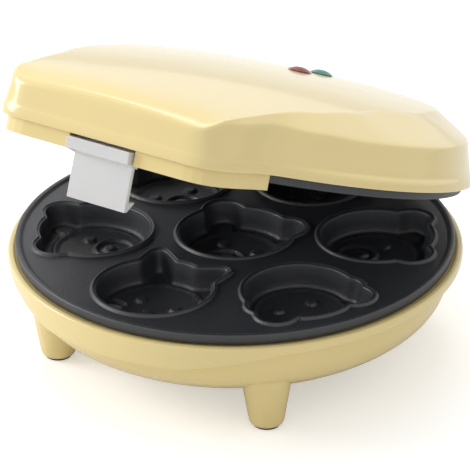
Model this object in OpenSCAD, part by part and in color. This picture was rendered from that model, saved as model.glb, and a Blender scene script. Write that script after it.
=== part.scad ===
// Small round snack maker with seven animal-face moulds.
// Frame: +Z up, floor at z = 0, plate centre on the Z axis, hinge at +Y, latch at -Y.
// Lid pieces are drawn in the closed position and then turned open about the hinge axis.

/* [Plates] */
// Outer radius of both baking plates
plate_r = 103; // [102:0.5:104]
// Height of the plane where the closed plates meet
contact_z = 55; // [54:0.5:57]
// Height of the visible edge band of a plate
plate_band = 4.6; // [4:0.1:5.4]
// Width of the raised edge round a plate
plate_edge_w = 3.6; // [2.5:0.1:4.5]
// Depth of the plate floor below its raised edge
plate_floor_drop = 1.4; // [1:0.1:2]
// Gap between the raised edges when the lid is closed
plate_gap = 0.3; // [0.2:0.1:0.6]
// Depth of a mould below the raised edge
mould_depth = 12; // [9:0.5:12.5]
// Thickness of a mould's floor
mould_wall = 2; // [1.5:0.1:2.2]
// Width of the wall and raised bead round a mould
bead_w = 2.2; // [1.5:0.1:2.4]
// Distance from the centre to the outer moulds, as a share of the plate's radius
mould_ring_share = 0.641; // [0.636:0.001:0.646]
// Radius of a face in a mould, as a share of the plate's radius
face_share = 0.2524; // [0.24:0.0004:0.256]
// Height of the features that stand up from a mould floor
relief_h = 1.6; // [1:0.1:2.5]

/* [Lower shell] */
// Wall thickness of the moulded shells
wall = 2.5; // [2:0.1:3]
// Reach of the lip beyond the lower plate that it carries
lip_over = 3.8; // [3.2:0.1:4.4]
// Height of the lip below the plate
lip_h = 4.9; // [4:0.1:6]
// Underside of the latching chin at the front
chin_z = 37.4; // [36.8:0.1:38]
// Half width of the level part of the chin
chin_half_w = 36; // [30:1:42]
// Half width where the chin runs out into the lip
chin_end_half_w = 76; // [66:1:80]
// Inset of the bowl's wall from the edge of the plate
bowl_inset = 2.5; // [1.5:0.1:3.5]
// Height of the underside of the bowl
bowl_z = 12; // [10:0.5:13]

/* [Feet] */
// Distance of a foot's centre from the edge of the plate
foot_inset = 17; // [15:1:22]
// Angle of each foot from the front-back line
foot_angle = 43; // [38:1:50]
// Radius of a foot where it joins the bowl
foot_top_r = 11.5; // [10:0.5:13]
// Radius of a foot at its lower end
foot_bottom_r = 8; // [7:0.5:9]
// Height of the anti-slip pad under a foot
pad_h = 1.6; // [1.2:0.1:2.4]
// Radius of an anti-slip pad
pad_r = 6; // [4.5:0.25:6.5]

/* [Lid] */
// Angle at which the lid stands ajar
lid_rest = 20.7; // [15:0.1:30]
// Reach of the lid's flat front beyond the plate
front_over = 17.2; // [16.6:0.2:18.2]
// Reach of the lid's round rim beyond the plate
rim_over = 4.8; // [4.6:0.1:5.6]
// Half angle that the flat front takes up, seen from the centre
corner_a = 23.3; // [22:0.1:24]
// Angle over which a front corner rounds off into the rim
corner_w = 16.5; // [16:0.5:20]
// Height of the lid's lower rim above the raised plate edge
rim_above_contact = 4.6; // [4.4:0.1:5.4]
// Height of the crown's highest point above the rim
crown_h = 33; // [32.4:0.1:34]
// Distance of the crown's highest point behind the centre
crown_back = 7; // [4:0.2:12]
// Twice the radius of the crown's curve across the lid
crown_curve_x = 1438; // [1200:1:1800]
// Twice the radius of the crown's curve from front to back
crown_curve_y = 1473; // [1300:1:1800]
// Height of the front wall above the rim
front_h = 16.3; // [15.6:0.1:16.8]
// Height of the side wall at its highest, beside the front corners
shoulder_h = 21.2; // [20.6:0.1:21.6]
// Height of the side wall half way along
side_h = 19.1; // [18.8:0.1:19.6]
// Height of the wall at the hinge
back_h = 20.8; // [20:0.1:21.2]
// Depth of the skirt under the rim at the front
skirt_h = 7.2; // [6.5:0.1:7.6]
// Setback of the skirt from the flat front of the lid
skirt_inset = 3.2; // [2.8:0.1:3.6]

/* [Hinge] */
// Distance of the hinge axis behind the plate
hinge_over = 9; // [8.6:0.1:10]
// Height of the hinge axis
hinge_z = 54.3; // [54:0.1:54.8]
// Radius of the hinge barrels
barrel_r = 4.4; // [4:0.1:4.6]
// Radius of a hinge pin
pin_r = 1.75; // [1.5:0.05:2]
// Distance from the middle to the centre of each hinge
hinge_x = 30; // [28:0.5:32]
// Width of the lid's barrel
knuckle_w = 10; // [9:0.5:11]
// Width of each ear on the base
ear_w = 4.6; // [4:0.1:5]

/* [Latch] */
// Width of the latch plate
latch_w = 31; // [28:0.5:34]
// Thickness of the latch plate
latch_t = 2.3; // [2:0.1:2.4]
// Distance of the latch axis in front of the lip
latch_over = 3.6; // [3.4:0.1:3.8]
// Height of the latch axis below the lid's rim
latch_drop = 1.1; // [1:0.1:1.4]
// Radius of the latch pin
latch_pin_r = 1.2; // [1:0.05:1.3]
// Length of the latch below the rim
latch_len = 28.4; // [27.8:0.1:29]
// Reach of the finger tab in front of the latch plate
tab_reach = 6.2; // [5.5:0.1:6.4]
// How far the finger tab stands out past each side of the plate
tab_over = 1.2; // [0.8:0.1:1.6]
// Height of the front face of the finger tab
tab_face_h = 5.2; // [4:0.1:5.4]
// Gap between the hook and the chin while the lid closes
hook_gap = 0.5; // [0.4:0.1:1]
// Gap under the chin for the engaged hook
hook_under = 1.6; // [1.5:0.1:2]

/* [Lights] */
// Distance from the centre to the red light
red_y = 38.1; // [36:0.1:39]
// Distance from the centre to the green light
green_y = 59.2; // [58:0.1:61]
// Radius of a light's lens
lens_r = 6; // [5.6:0.1:6.6]
// Height of a lens above the lid
lens_rise = 2.2; // [1.8:0.1:2.6]

/* [Heating] */
// Radius of a heater tube
tube_r = 3.2; // [2.8:0.1:3.5]
// Thickness of the sheet metal
sheet = 0.8; // [0.6:0.1:1.2]
// Seat gap between rigid pieces
seat = 0.1; // [0.05:0.05:0.3]
// Running gap between moving pieces
run = 0.3; // [0.25:0.05:0.4]
// Radial clearance of a pin in its bore
pin_fit = 0.05; // [0.02:0.01:0.08]

/* [Hidden] */
$fn = 64;
eps = 0.01;

mould_ring_r = plate_r * mould_ring_share;
face_r = plate_r * face_share;
heater_ring_r = mould_ring_r;
lip_r = plate_r + lip_over;
bowl_r = plate_r - bowl_inset;
foot_ring_r = plate_r - foot_inset;
lid_front = plate_r + front_over;
lid_r = plate_r + rim_over;
skirt_front = lid_front - skirt_inset;
skirt_r = lid_r - 3.6;
hinge_y = plate_r + hinge_over;
latch_y = lip_r + latch_over;
rim_z = contact_z + rim_above_contact;
mould_floor_z = contact_z - mould_depth;
pod_z = mould_floor_z - mould_wall;
mirror_z = contact_z + plate_gap / 2;
plate_under_z = contact_z - plate_band;
boss_r = 4.2;
boss_ring_r = mould_ring_r * 7 / 12;
boss_angles = [30, 150, 270];
screw_r = 1.5;
screw_head_r = 2.8;
screw_head_h = 2;
screw_bite = 7;
heater_z = pod_z - seat - tube_r;
strap_z = heater_z - tube_r - seat;
strap_w = 8;
strap_len = 22;
clamp_angles = [30, 150, 270];
clamp_screw_off = 7.6;
clamp_screw_len = 5;
heater_sweep = 330;
reflector_z = strap_z - sheet - screw_head_h - 1.2;
reflector_r = plate_r - 19;
boss_low_z = reflector_z + seat;
latch_z = rim_z - latch_drop;
latch_low_z = rim_z - latch_len;
hook_z = chin_z - hook_under;
hook_tip_y = lip_r + hook_gap;
latch_plate_y = latch_y + 1.4;
latch_front_y = latch_plate_y + latch_t;
frame_in_r = plate_r + run + 0.2;
lid_inset = 2.8;
frame_ring_r = lid_r - lid_inset - wall - 0.7;
ledge_z = rim_z + 3;
ledge_h = 2.4;
pan_r = plate_r - 5.2;
pan_head_gap = 1.4;
pan_top_z = 2 * mirror_z - strap_z + sheet + screw_head_h + pan_head_gap;
pan_side_z = ledge_z + 8.6;
pan_flat_r = pan_r - 21.8;
cover_boss_r = 3.2;
front_boss_x = 48;
front_boss_y = lid_front - 22;
rear_boss_x = 14;
rear_boss_y = sqrt(pow(frame_ring_r - cover_boss_r - 0.6, 2) - pow(rear_boss_x, 2));
lens_seat_r = lens_r - 1.4;
lens_fit = 0.15;

// ---- outlines of the lid, as functions of the angle from the front ----

function ease(t) = t <= 0 ? 0 : t >= 1 ? 1 : (1 - cos(180 * t)) / 2;
function fold(a) = let (m = (a % 360 + 360) % 360) m > 180 ? 360 - m : m;
function raw_r(a, front, round_r) =
  let (b = fold(a), peak = front / cos(corner_a) - round_r)
    b < corner_a ? front / cos(b) : round_r + peak * (1 - ease((b - corner_a) / corner_w));
function soft_r(a, front, round_r) =
  (raw_r(a - 3, front, round_r) + 2 * raw_r(a, front, round_r) + raw_r(a + 3, front, round_r)) / 4;

// A value that eases from step to step; each step is an angle from the front and the value there
function stepped(b, steps, i = 0) =
  i < len(steps) - 2 && b > steps[i + 1][0] ? stepped(b, steps, i + 1)
  : steps[i][1] + (steps[i + 1][1] - steps[i][1]) * ease((b - steps[i][0]) / (steps[i + 1][0] - steps[i][0]));
// Height of the wall's upper edge above the rim
wall_steps = [
  [22, front_h], [28, shoulder_h - 1.2], [36, shoulder_h], [48, side_h + 1.1], [64, side_h], [90, side_h],
  [180, back_h]];
// How far the wall's upper edge stands in from the rim: hardly at the front, far along the sides
top_inset_steps = [[22, 1], [30, 4], [42, 5.6], [60, 8], [100, 6.5], [180, 5.5]];
// Slope of the bevel between the wall and the crown: none to speak of at the front, wide along the sides
bevel_steps = [
  [16, 2.8], [24, 1.31], [30, 0.69], [36, 0.74], [46, 0.51], [60, 0.46], [80, 0.36], [110, 0.43],
  [180, 1.18]];
// Height of the crown's face above the rim: a shallow dome that rolls down to the front wall
front_roll_y = lid_front - 14.3;
front_roll = 0.00216;
function crown_face(x, y) = crown_h - x * x / crown_curve_x - pow(y - crown_back, 2) / crown_curve_y
  - front_roll * pow(max(0, -y - front_roll_y), 3);
function crown_at(a, r) = crown_face(r * sin(a), -r * cos(a));
// How much of the lip bead there is: none at the front corners, all along the sides
function lip_share(a) = ease((fold(a) - 36) / 22);

// How far the wall stands in from the rim, and the radius of its upper edge
function wall_inset(a) = 0.6 + 2.2 * lip_share(a);
function wall_top_r(a) = soft_r(a, lid_front, lid_r) - stepped(fold(a), top_inset_steps);
function bevel_h(a, r) = stepped(fold(a), wall_steps) + stepped(fold(a), bevel_steps) * (wall_top_r(a) - r);
// Radius at which the bevel meets the crown, found by halving
function crown_edge_r(a, low = 0, high = 140, n = 14) = let (middle = (low + high) / 2)
  n == 0 ? middle
  : bevel_h(a, middle) > crown_at(a, middle) ? crown_edge_r(a, middle, high, n - 1)
  : crown_edge_r(a, low, middle, n - 1);
// Height of the lid's top above the rim at a distance r from the centre
function top_h(a, r) = min(crown_at(a, r), bevel_h(a, r));

// One ring of the lid's skin: k runs from the rim to the crown, t is the inset of the skin
crown_rings = [0.96, 0.91, 0.84, 0.66, 0.44, 0.22];
skin_steps = 11 + len(crown_rings);
function skin(a, k, t) =
  let (
    base = soft_r(a, lid_front, lid_r),
    lip = lip_share(a),
    wall_r = base - wall_inset(a),
    top_r = wall_top_r(a),
    cr = min(crown_edge_r(a), top_r - 1.5),
    eh = top_h(a, top_r),
    r = k == 0 ? base - 0.5
      : k == 1 ? base
      : k == 2 ? base - 0.1
      : k == 3 ? base - 0.1 - 0.8 * lip
      : k == 4 ? wall_r
      : k == 5 ? (wall_r + top_r) / 2
      : k == 6 ? top_r + 0.05 * (wall_r - top_r)
      : k == 7 ? top_r - 0.2
      : k == 8 ? top_r - 0.3 * (top_r - cr)
      : k == 9 ? cr + 0.12 * (top_r - cr)
      : k == 10 ? cr - 0.8
      : cr * crown_rings[k - 11],
    h = k == 0 ? 0
      : k == 1 ? 0.6
      : k == 2 ? 2.6
      : k == 3 ? 4
      : k == 4 ? 5.6
      : k == 5 ? eh * 0.5
      : k == 6 ? eh - 1.6
      : k == 7 ? eh - 0.2
      : top_h(a, r),
    rr = max(0, r - t),
    hh = max(0, h - (k < 6 ? 0 : t)))
    [rr * sin(a), -rr * cos(a), rim_z + hh];

lid_sides = 72;
inner_levels = [16, 15, 14, 13, 12, 11, 10, 8, 6, 4, 1, 0];
module lid_shell() {
  // One closed skin: up the outside, over the crown, and back down the inside
  around = [for (i = [0:lid_sides - 1]) i * 360 / lid_sides];
  rows = concat(
    [for (k = [0:skin_steps - 1]) [for (a = around) skin(a, k, 0)]],
    [for (k = inner_levels) [for (a = around) skin(a, k, wall)]]);
  last_row = len(rows) - 1;
  top_row = skin_steps - 1;
  points = concat([for (row = rows) each row],
    [[0, 0, rim_z + crown_face(0, 0)], [0, 0, rim_z + crown_face(0, 0) - wall]]);
  outer_top = len(points) - 2;
  inner_top = len(points) - 1;
  faces = concat(
    [for (k = [0:last_row], i = [0:lid_sides - 1]) if (k != top_row)
      let (j = (i + 1) % lid_sides, b = k * lid_sides, c = (k == last_row ? 0 : k + 1) * lid_sides)
        each [[b + i, c + i, b + j], [b + j, c + i, c + j]]],
    [for (i = [0:lid_sides - 1]) let (b = top_row * lid_sides) [b + (i + 1) % lid_sides, b + i, outer_top]],
    [for (i = [0:lid_sides - 1]) let (b = (top_row + 1) * lid_sides)
      [b + i, b + (i + 1) % lid_sides, inner_top]]);
  polyhedron(points, faces);
}

// ---- shared shapes ----

module opened() {
  translate([0, hinge_y, hinge_z]) rotate([-lid_rest, 0, 0]) translate([0, -hinge_y, -hinge_z]) children();
}
module flipped() {
  translate([0, 0, 2 * mirror_z]) mirror([0, 0, 1]) children();
}
module ring(r_out, r_in, h) {
  difference() {
    cylinder(r = r_out, h = h);
    translate([0, 0, -1]) cylinder(r = r_in, h = h + 2);
  }
}
module screw(length) {
  // Head upwards at z = 0, shank downwards
  cylinder(r = screw_head_r, h = screw_head_h);
  translate([0, 0, -length]) cylinder(r = screw_r, h = length + eps);
}

// ---- the moulds: each outline grows by d, and points its chin along -Y ----

// They are drawn for a face of drawn_r and scaled to the real one.
drawn_r = 26;
ear_off = 24;
module bear_outline(d) {
  circle(r = drawn_r + d);
  for (s = [-1, 1]) rotate(s * 46) translate([0, ear_off, 0]) circle(r = 9 + d);
}
module cat_outline(d) {
  circle(r = drawn_r + d);
  for (s = [-1, 1]) rotate(s * 31) polygon([
    [-10 - d, 18], [-7 - d * 0.9, 27], [-2.2, 36.5 + d * 1.4],
    [2.2, 36.5 + d * 1.4], [7 + d * 0.9, 27], [10 + d, 18]]);
}
module dog_outline(d) {
  circle(r = drawn_r - 1 + d);
  for (s = [-1, 1]) {
    rotate(s * 128) translate([0, ear_off + 0.8, 0]) circle(r = 8.2 + d);
    rotate(s * 105) translate([0, ear_off - 2.5, 0]) circle(r = 7 + d);
  }
}
face_scale = face_r / drawn_r;
module outline(kind, offset_by) {
  d = offset_by / face_scale;
  scale(face_scale) {
    if (kind == 0) bear_outline(d);
    if (kind == 1) cat_outline(d);
    if (kind == 2) dog_outline(d);
  }
}
relief_root = 0.5;
relief_all_h = (relief_h + relief_root) / face_scale;
module disc_at(x, y, r) {
  translate([x, y, 0]) cylinder(r = r, h = relief_all_h);
}
whisker = [10, 1.4, relief_all_h];
module relief(kind) {
  // Features standing up from the mould floor, to print eyes, a nose and ears
  scale(face_scale) {
    if (kind == 0) {
      for (s = [-1, 1]) disc_at(s * 10, 5, 3);
      for (s = [-1, 1]) rotate(s * 46) disc_at(0, ear_off + 0.5, 4.6);
      translate([0, -9, 0]) ring(10, 8.4, relief_all_h);
      disc_at(0, -6, 3);
    }
    if (kind == 1) {
      for (s = [-1, 1]) disc_at(s * 9.5, 3, 2.6);
      disc_at(0, -5, 2.2);
      for (s = [-1, 1], t = [-1, 1]) translate([s * 17, -7 + t * 3, 0]) rotate(s * t * 12)
        translate([-whisker[0] / 2, -whisker[1] / 2, 0]) cube(whisker);
    }
    if (kind == 2) {
      for (s = [-1, 1]) disc_at(s * 9, 4, 2.8);
      disc_at(0, -8, 4);
      translate([-0.7, -18, 0]) cube([1.4, 7, relief_all_h]);
    }
  }
}
// Kind of face and the turn of its chin for the middle and the six outer moulds.
// A turn of 0 points the chin to the front, and the outer moulds stand at 60 degree steps.
faces_kind = [0, 1, 2, 0, 2, 0, 0];
faces_turn = [0, 0, 60, 300, 180, 60, 120];
function place_a(i) = (i - 1) * 60;
module at_mould(i) {
  if (i == 0) children();
  else rotate(place_a(i)) translate([0, -mould_ring_r, 0]) rotate(faces_turn[i] - place_a(i)) children();
}
at_bosses_top = plate_under_z + eps;
clamp_post_r = 2.6;
module at_bosses(z) {
  for (a = boss_angles) rotate(a) translate([boss_ring_r, 0, z]) children();
}
module at_clamp_screws(z) {
  for (a = clamp_angles, s = [-1, 1]) rotate(a)
    translate([heater_ring_r + s * clamp_screw_off, 0, z]) children();
}
module plate(boss_end_z) {
  difference() {
    union() {
      translate([0, 0, plate_under_z])
        cylinder(r = plate_r, h = contact_z - plate_floor_drop - plate_under_z, $fn = 180);
      translate([0, 0, plate_under_z]) ring(plate_r, plate_r - plate_edge_w, plate_band);
      intersection() {
        cylinder(r = plate_r - 0.8, h = contact_z);
        for (i = [0:6]) at_mould(i) translate([0, 0, pod_z])
          linear_extrude(contact_z - pod_z) outline(faces_kind[i], bead_w);
      }
      at_bosses(boss_end_z) cylinder(r = boss_r, h = at_bosses_top - boss_end_z);
      at_clamp_screws(strap_z + seat) cylinder(r = clamp_post_r, h = pod_z - strap_z);
    }
    for (i = [0:6]) at_mould(i)
      translate([0, 0, mould_floor_z]) linear_extrude(mould_depth + 1) outline(faces_kind[i], 0);
    at_bosses(boss_end_z - 1) cylinder(r = screw_r + pin_fit, h = screw_bite + 2);
    at_clamp_screws(strap_z - 1) cylinder(r = screw_r + pin_fit, h = clamp_screw_len + 1.2);
  }
  for (i = [0:6]) at_mould(i) translate([0, 0, mould_floor_z - relief_root]) relief(faces_kind[i]);
}
module heater() {
  rotate(15) {
    rotate_extrude(angle = heater_sweep) translate([heater_ring_r, 0]) circle(r = tube_r, $fn = 24);
    for (a = [0, heater_sweep]) rotate(a) translate([heater_ring_r, 0, 0])
      rotate([a == 0 ? 90 : -90, 0, 0]) translate([0, 0, -tube_r / 2])
        cylinder(r = tube_r * 0.45, h = 6 + tube_r / 2);
  }
}
module clamps() {
  for (a = clamp_angles) rotate(a) translate([heater_ring_r, 0, strap_z - sheet]) difference() {
    translate([-strap_len / 2, -strap_w / 2, 0]) cube([strap_len, strap_w, sheet]);
    for (s = [-1, 1]) translate([s * clamp_screw_off, 0, -1]) cylinder(r = screw_r + pin_fit, h = sheet + 2);
  }
}
module clamp_screws() {
  at_clamp_screws(strap_z - sheet - seat) mirror([0, 0, 1]) screw(clamp_screw_len);
}

// ---- the base ----

bowl_centre_r = bowl_r - 45.5;
bowl_rim_z = bowl_z + 25;
function bowl_arc(t) = [for (a = [0:7.5:90])
  [bowl_centre_r + (bowl_r - bowl_centre_r - t) * sin(a), bowl_rim_z - (bowl_rim_z - bowl_z - t) * cos(a)]];
lip_top_z = plate_under_z - seat;
lip_low_z = lip_top_z - lip_h;
module bowl_space() {
  rotate_extrude($fn = 128) polygon(concat([[0, bowl_z + wall]], bowl_arc(wall),
    [[bowl_r - wall, lip_top_z + 1], [0, lip_top_z + 1]]));
}
module bowl_solid() {
  rotate_extrude($fn = 128) polygon(concat([[0, bowl_z]], bowl_arc(0),
    [[bowl_r, lip_low_z], [lip_r - 0.8, lip_low_z], [lip_r, lip_low_z + 0.8],
     [lip_r, lip_top_z - 0.8], [lip_r - 0.8, lip_top_z], [0, lip_top_z]]));
}
module chin() {
  intersection() {
    translate([0, 0, chin_z]) ring(lip_r, bowl_r - wall / 2, lip_low_z - chin_z + 1);
    rotate([90, 0, 0]) linear_extrude(lip_r + 1) polygon([
      [-chin_end_half_w, lip_low_z + 1], [-chin_end_half_w, lip_low_z], [-chin_half_w, chin_z],
      [chin_half_w, chin_z], [chin_end_half_w, lip_low_z], [chin_end_half_w, lip_low_z + 1]]);
  }
}
foot_dirs = [foot_angle, -foot_angle, 180 - foot_angle, 180 + foot_angle];
foot_low_z = pad_h * 0.6;
foot_top_z = bowl_z + 18;
module at_feet() {
  for (a = foot_dirs) rotate(a) translate([0, -foot_ring_r, 0]) children();
}
gland_z = bowl_rim_z + 1;
gland_r = 4.4;
gland_bore_r = 3.3;
gland_boss_r = 7.6;
gland_boss_y = bowl_r + 0.9;
gland_flange_r = 6.2;
gland_flange_t = 2;
head_well_z = bowl_z + 7;
shell_boss_z = reflector_z - sheet - seat;
module along_y(y, z) {
  translate([0, y, z]) rotate([-90, 0, 0]) children();
}
module along_x(x, y, z) {
  translate([x, y, z]) rotate([0, 90, 0]) children();
}
ear_offset = knuckle_w / 2 + run;
ear_arm_z = lip_low_z - 2;
module hinge_ear(x) {
  start_y = sqrt(pow(bowl_r - 1, 2) - pow(max(abs(x), abs(x + ear_w)), 2));
  translate([x, start_y, ear_arm_z]) cube([ear_w, hinge_y - start_y, lip_top_z - ear_arm_z]);
  translate([x, hinge_y - barrel_r, ear_arm_z]) cube([ear_w, 2 * barrel_r, hinge_z - ear_arm_z]);
  along_x(x, hinge_y, hinge_z) cylinder(r = barrel_r, h = ear_w);
}
module lower_shell() {
  color([0.95, 0.9, 0.68]) difference() {
    union() {
      difference() {
        union() {
          bowl_solid();
          at_feet() translate([0, 0, foot_low_z])
            cylinder(r1 = foot_bottom_r, r2 = foot_top_r, h = foot_top_z - foot_low_z);
        }
        bowl_space();
      }
      chin();
      at_bosses(bowl_z + eps) cylinder(r = boss_r + 0.6, h = shell_boss_z - bowl_z - eps);
      along_y(bowl_r - wall, gland_z) cylinder(r = gland_boss_r, h = gland_boss_y - bowl_r + wall);
      for (s = [-1, 1]) {
        hinge_ear(s * hinge_x + ear_offset);
        hinge_ear(s * hinge_x - ear_offset - ear_w);
      }
    }
    at_bosses(bowl_z - 1) {
      cylinder(r = screw_r + pin_fit, h = reflector_z);
      cylinder(r = screw_head_r + 0.4, h = head_well_z + screw_head_h - bowl_z + 1 + seat);
    }
    at_feet() translate([0, 0, -1]) cylinder(r = pad_r, h = 1 + pad_h);
    along_y(bowl_r - wall - 2, gland_z) cylinder(r = gland_r, h = wall + 8);
    for (s = [-1, 1]) along_x(s * hinge_x - knuckle_w, hinge_y, hinge_z)
      cylinder(r = pin_r + pin_fit, h = 2 * knuckle_w);
  }
}
module foot_pads() {
  color([0.2, 0.2, 0.2]) at_feet() cylinder(r = pad_r, h = pad_h);
}
module lower_plate() {
  color([0.24, 0.25, 0.27]) plate(boss_low_z);
}
module lower_heater() {
  color([0.62, 0.6, 0.56]) translate([0, 0, heater_z]) heater();
}
module lower_heater_clamps() {
  color([0.75, 0.75, 0.74]) clamps();
}
module lower_clamp_screws() {
  color([0.8, 0.8, 0.8]) clamp_screws();
}
module lower_reflector() {
  color([0.78, 0.79, 0.8]) difference() {
    rotate_extrude($fn = 128) polygon([
      [0, reflector_z - sheet], [reflector_r, reflector_z - sheet], [reflector_r + 3, reflector_z + 5],
      [reflector_r + 3 - sheet, reflector_z + 5], [reflector_r - sheet, reflector_z], [0, reflector_z]]);
    at_bosses(0) cylinder(r = screw_r + 0.2, h = rim_z);
  }
}
module base_screws() {
  color([0.8, 0.8, 0.8]) at_bosses(head_well_z + screw_head_h)
    mirror([0, 0, 1]) screw(boss_low_z + screw_bite - head_well_z - screw_head_h);
}
module cord_gland() {
  color([0.15, 0.15, 0.15]) along_y(0, gland_z) difference() {
    union() {
      translate([0, 0, bowl_r - wall - gland_flange_t])
        cylinder(r = gland_r - pin_fit, h = gland_boss_y - bowl_r + wall + gland_flange_t * 2);
      translate([0, 0, gland_boss_y + seat]) cylinder(r = gland_flange_r, h = gland_flange_t);
      translate([0, 0, bowl_r - wall - gland_flange_t - seat - 1])
        cylinder(r = gland_flange_r, h = gland_flange_t);
    }
    translate([0, 0, bowl_r - wall * 4]) cylinder(r = gland_bore_r, h = wall * 8);
  }
}
block_y = bowl_centre_r - 13;
block_w = 30;
block_d = 12;
block_h = 9;
block_pitch = block_w / 3.4;
block_wire_r = 1.6;
block_wire_z = 3.6;
block_screw_r = 2;
block_screw_h = 3;
module terminal_block() {
  color([0.88, 0.88, 0.84]) translate([0, block_y, bowl_z + wall + seat]) difference() {
    translate([-block_w / 2, -block_d / 2, 0]) cube([block_w, block_d, block_h]);
    for (x = [-1, 0, 1]) {
      translate([x * block_pitch, 0, block_h - block_screw_h])
        cylinder(r = block_screw_r, h = block_screw_h + 1);
      along_y(-block_d, block_wire_z) translate([x * block_pitch, 0, 0])
        cylinder(r = block_wire_r, h = block_d * 2);
    }
  }
}

// ---- the lid ----

cover_bosses = [for (s = [-1, 1]) each [[s * front_boss_x, -front_boss_y], [s * rear_boss_x, rear_boss_y]]];
module at_cover_bosses() {
  for (p = cover_bosses) translate([p[0], p[1], 0]) children();
}
frame_top_z = ledge_z + ledge_h;
frame_low_z = 2 * mirror_z - plate_under_z + seat;
cover_screw_z = frame_low_z + screw_head_h + 0.2;
cover_boss_low_z = frame_top_z + seat;
light_tray_drop = 10.4;
light_tray_z = rim_z + crown_face(0, red_y) - light_tray_drop;
light_tray_t = 2;
light_tray_edge = 9;
light_post_x = 5;
light_post_r = 2.4;
light_post_y = (red_y + green_y) / 2;
function lens_tilt(y) = atan(2 * (y - crown_back) / crown_curve_y);
module at_lens(y) {
  translate([0, y, rim_z + crown_face(0, y)]) rotate([-lens_tilt(y), 0, 0]) children();
}
// Height at which a boss of radius r is buried in the wall above its outer side
function boss_top(x, y, r) = rim_z + top_h(atan2(x, -y), norm([x, y]) + r) - wall * 0.4;
module upper_cover() {
  color([0.95, 0.9, 0.68]) opened() difference() {
    union() {
      lid_shell();
      for (p = cover_bosses) translate([p[0], p[1], cover_boss_low_z])
        cylinder(r = cover_boss_r, h = boss_top(p[0], p[1], cover_boss_r) - cover_boss_low_z);
      for (s = [-1, 1]) translate([s * light_post_x, light_post_y, light_tray_z + light_tray_t + seat])
        cylinder(r = light_post_r,
          h = boss_top(light_post_x, light_post_y, light_post_r) - light_tray_z - light_tray_t - seat);
    }
    for (y = [red_y, green_y]) at_lens(y) translate([0, 0, -wall * 2])
      cylinder(r = lens_seat_r + lens_fit, h = wall * 4);
    at_cover_bosses() translate([0, 0, cover_boss_low_z - 1])
      cylinder(r = screw_r + pin_fit, h = screw_bite + 1.5);
  }
}
skirt_a = 38;
module skirt_plan(inset, in_r) {
  difference() {
    polygon(concat([[0, 0]], [for (a = [-skirt_a:2:skirt_a])
      let (r = soft_r(a, skirt_front, skirt_r) - inset) [r * sin(a), -r * cos(a)]]));
    circle(r = in_r, $fn = 180);
  }
}
skirt_z = rim_z - skirt_h;
notch_half_w = latch_w / 2 + tab_over + 0.8;
cheek_w = 4;
cheek_x = notch_half_w + cheek_w;
arm_z = hinge_z + 1.3;
arm_r = lid_r - 2.9;
arm_top_r = lid_r - 4.2;
arm_link_z = rim_z + 1.2;
front_pad_w = 12;
module lid_arm(x) {
  intersection() {
    translate([x - knuckle_w / 2, 0, 0]) cube([knuckle_w, hinge_y * 2, rim_z + 10]);
    union() {
      translate([0, 0, arm_z]) difference() {
        translate([-hinge_y, 0, 0]) cube([hinge_y * 2, hinge_y, rim_z - 0.4 - arm_z]);
        translate([0, 0, -1]) cylinder(r = frame_in_r, h = barrel_r * 4, $fn = 180);
      }
      translate([0, 0, arm_z]) ring(arm_r, frame_in_r, arm_link_z - arm_z);
      translate([0, 0, frame_low_z]) ring(arm_r, frame_ring_r - 1, arm_link_z - frame_low_z);
      translate([0, 0, frame_low_z]) ring(arm_top_r, frame_ring_r - 1, frame_top_z - frame_low_z - 2);
    }
  }
  along_x(x - knuckle_w / 2, hinge_y, hinge_z) cylinder(r = barrel_r, h = knuckle_w);
}
module lid_frame() {
  color([0.93, 0.88, 0.66]) opened() difference() {
    union() {
      translate([0, 0, frame_low_z]) ring(frame_ring_r, pan_r + 0.6, frame_top_z - frame_low_z);
      difference() {
        translate([0, 0, skirt_z]) linear_extrude(ledge_z - skirt_z) skirt_plan(0, frame_in_r);
        translate([0, 0, skirt_z + wall]) linear_extrude(skirt_h * 3) skirt_plan(wall, frame_in_r + wall);
      }
      translate([0, 0, frame_low_z]) linear_extrude(frame_top_z - frame_low_z) intersection() {
        skirt_plan(wall, frame_ring_r - 1);
        union() for (s = [-1, 1]) translate([s * front_boss_x - front_pad_w / 2, -lid_front])
          square([front_pad_w, lid_front]);
      }
      intersection() {
        translate([0, 0, skirt_z]) linear_extrude(ledge_z - skirt_z) skirt_plan(0, frame_in_r);
        for (s = [-1, 1]) translate([s * (cheek_x - cheek_w / 2) - cheek_w / 2, -lid_front, 0])
          cube([cheek_w, lid_front, rim_z + skirt_h]);
      }
      for (s = [-1, 1]) {
        lid_arm(s * hinge_x);
        translate([s * rear_boss_x, rear_boss_y, frame_low_z])
          cylinder(r = cover_boss_r, h = frame_top_z - frame_low_z);
      }
    }
    translate([-notch_half_w, -lid_front, skirt_z - 1])
      cube([2 * notch_half_w, lid_front - latch_y + barrel_latch_r + run, skirt_h * 3]);
    along_x(-cheek_x - 1, -latch_y, latch_z) cylinder(r = latch_pin_r + pin_fit, h = 2 * cheek_x + 2);
    for (s = [-1, 1]) along_x(s * hinge_x - knuckle_w, hinge_y, hinge_z)
      cylinder(r = pin_r + pin_fit, h = 2 * knuckle_w);
    at_cover_bosses() translate([0, 0, skirt_z - 1]) {
      cylinder(r = screw_r + 0.2, h = skirt_h * 4);
      cylinder(r = screw_head_r + 0.3, h = cover_screw_z + seat - skirt_z + 1);
    }
  }
}
module upper_plate() {
  color([0.24, 0.25, 0.27]) opened() flipped() plate(2 * mirror_z - pan_top_z + seat);
}
module upper_heater() {
  color([0.62, 0.6, 0.56]) opened() flipped() translate([0, 0, heater_z]) heater();
}
module upper_heater_clamps() {
  color([0.75, 0.75, 0.74]) opened() flipped() clamps();
}
module upper_clamp_screws() {
  color([0.8, 0.8, 0.8]) opened() flipped() clamp_screws();
}
pan_flange_r = frame_ring_r - 1.4;
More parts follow.
